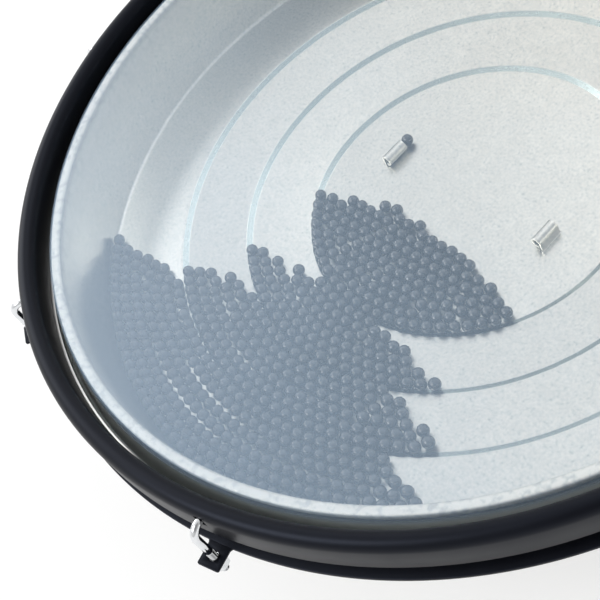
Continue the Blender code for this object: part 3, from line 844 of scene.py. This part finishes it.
def settle(innermost, outermost, bend, lean, edge, squeeze, chance, fixed):
    """Shakes a close-packed sheet of pellets until it lies in the low side of its level."""
    row = BEAD_PITCH * math.sqrt(3) / 2
    rows = int(outermost / row) + 2
    spots = np.array([
        (BEAD_PITCH * (i + 0.5 * (j % 2)), row * j) for i in range(-rows, rows) for j in range(rows)])
    radius = np.hypot(spots[:, 0], spots[:, 1])
    depth = spots[:, 1] + lean * spots[:, 0] - bend * spots[:, 0] ** 2
    room = np.array([np.hypot(*(fixed - spot).T).min() for spot in spots])
    held = (radius >= innermost - squeeze) & (radius <= outermost + squeeze)
    spots = spots[held & (depth > edge) & (room > SINGLE_ROOM * BEAD_PITCH)]
    for shake in range(SHAKES):
        calm = 1 - shake / SHAKES
        fall = np.stack([lean - 2 * bend * spots[:, 0], np.ones(len(spots))], 1)
        spots = spots + calm * (SINK * fall + chance.normal(0, SHAKE, spots.shape))
        spots = spread(spots, fixed, innermost, outermost, SHAKE_PASSES)
    for _ in range(REST_ROUNDS):
        spots = spread(spots, fixed, innermost, outermost, REST_PASSES)
    return spots


def pellet_place(x, y):
    return x, y, FLOOR_Z + floor_height(math.hypot(x, y)) + BEAD / 2 + GAP


def pellet_mesh():
    """A single pellet with the parting line and gate mark of its mould."""
    half = BEAD / 2
    points = []
    for i in range(PELLET_STEPS + 1):
        angle = math.radians(-90 + 180 * i / PELLET_STEPS)
        ridge = PARTING_RIDGE * math.exp(-(angle / PARTING_WIDTH) ** 2)
        r = half * (1 - PARTING_RIDGE + ridge)
        points.append((r * math.cos(angle), r * math.sin(angle)))
    points[0] = (0.0, points[0][1])
    points[-1] = (0.0, points[-1][1] - GATE_MARK)
    return plain_mesh(turned("pellet", points, base=0.0, steps=PELLET_SIDES))


def make_beads(pellet):
    tree = bead_bed_tree()
    singles = np.array(LOOSE_BEADS)
    for level, *shape, seed in BEAD_LEVELS:
        spots = settle(*shape, np.random.default_rng(seed), singles)
        mesh = bpy.data.meshes.new("points")
        mesh.from_pydata([pellet_place(x, y) for x, y in spots], [], [])
        mesh = run_tree("pellets", mesh, tree, {"Diameter": BEAD, "Seed": seed, "Material": pellet})
        name = f"bead_bed_{level}"
        piece(f"pellets_{level}", mesh, name, [name], pellet, 180)
    for number, (x, y) in enumerate(LOOSE_BEADS, 1):
        mesh = pellet_mesh()
        spin = 1.1 * number
        tip = 0.7 + 0.6 * number
        rolled = Matrix.Rotation(spin, 4, "Z") @ Matrix.Rotation(tip, 4, "X")
        mesh.transform(Matrix.Translation(pellet_place(x, y)) @ rolled)
        name = f"loose_bead_{number}"
        piece(f"single_pellet_{number}", mesh, name, [name], pellet, 180)


def background_rays(tree):
    """1 for rays that show the background: to the camera, in gloss and through glass."""
    rays = node(tree, "ShaderNodeLightPath").outputs
    seen = maths(tree, "MAXIMUM", rays["Is Camera Ray"], rays["Is Glossy Ray"])
    return maths(tree, "MAXIMUM", seen, rays["Is Transmission Ray"])


def make_stage():
    # Matt white paper that glows a little where it is seen, so that it runs into the white background.
    bm = bmesh.new()
    bmesh.ops.create_grid(bm, x_segments=1, y_segments=1, size=STAGE_HALF)
    floor = add_object("pale_floor", mesh_from("pale_floor", bm))
    material, tree, shader = finish("matt_white_paper", Base_Color=linear("#F4F4F4"), Roughness=0.9)
    glow = node(tree, "ShaderNodeEmission", {"Color": (1, 1, 1, 1), "Strength": 1.0})
    mixed = node(tree, "ShaderNodeMixShader", {
        0: maths(tree, "MULTIPLY", background_rays(tree), STAGE_GLOW),
        1: shader.outputs["BSDF"],
        2: glow.outputs["Emission"],
    })
    tree.links.new(mixed.outputs["Shader"], tree.nodes["Material Output"].inputs["Surface"])
    floor.data.materials.append(material)


def towards(tree, way, direction):
    aim = Vector(direction).normalized()
    return node(tree, "ShaderNodeVectorMath", {0: way, 1: aim}, operation="DOT_PRODUCT").outputs["Value"]


def make_light():
    world = bpy.data.worlds.new("white_studio")
    bpy.context.scene.world = world
    world.use_nodes = True
    tree = world.node_tree
    way = node(tree, "ShaderNodeTexCoord").outputs["Generated"]
    ahead = ramp(tree, towards(tree, way, KEY_SIDE), -1.0, 1.0, *ROOM_LIGHT)
    shaded = ramp(tree, towards(tree, way, DARK_SIDE), *DARK_REACH, 1.0, DARK_SHARE, "SMOOTHSTEP")
    room = maths(tree, "MULTIPLY", ahead, shaded)
    for direction, core, edge, strength in SCREENS:
        reach = [math.cos(math.radians(angle)) for angle in (edge, core)]
        screen = ramp(tree, towards(tree, way, direction), *reach, 0.0, strength, "SMOOTHSTEP")
        room = maths(tree, "ADD", room, screen)
    tree.links.new(room, tree.nodes["Background"].inputs["Strength"])
    tree.nodes["Background"].inputs["Color"].default_value = (1, 1, 1, 1)
    data = bpy.data.lights.new("key_softbox", "AREA")
    data.size = SOFTBOX_SIZE
    data.energy = SOFTBOX_WATTS
    lamp = add_object("key_softbox", data)
    lamp.location = SOFTBOX_PLACE
    lamp.rotation_euler = (-Vector(SOFTBOX_PLACE)).to_track_quat("-Z", "Y").to_euler()


def make_camera():
    data = bpy.data.cameras.new("photo_view")
    data.lens = CAMERA_LENS
    data.sensor_width = CAMERA_SENSOR
    data.clip_start = CAMERA_NEAR
    camera = add_object("photo_view", data)
    camera.location = CAMERA_PLACE
    camera.rotation_mode = "QUATERNION"
    roll = Quaternion((0, 0, 1), math.radians(CAMERA_ROLL_DEG))
    camera.rotation_quaternion = Vector(CAMERA_AIM).to_track_quat("-Z", "Y") @ roll
    bpy.context.scene.camera = camera


zinc = galvanised_steel()
black = black_paint()
chrome = chrome_plate()
ring_of_lugs = lug_ring_tree()
make_camera()
make_light()
make_stage()
make_lid(zinc)
make_handle(zinc)
make_film(clear_film())
make_flesh_hoop(drawn_aluminium())
make_counter_hoop(ring_of_lugs, black)
make_clamp_ring(ring_of_lugs, black)
make_hooks(ring_of_lugs, chrome)
make_washers(ring_of_lugs, chrome)
make_nuts(chrome)
make_beads(moulded_pellet())
bpy.context.scene.view_settings.view_transform = "Standard"
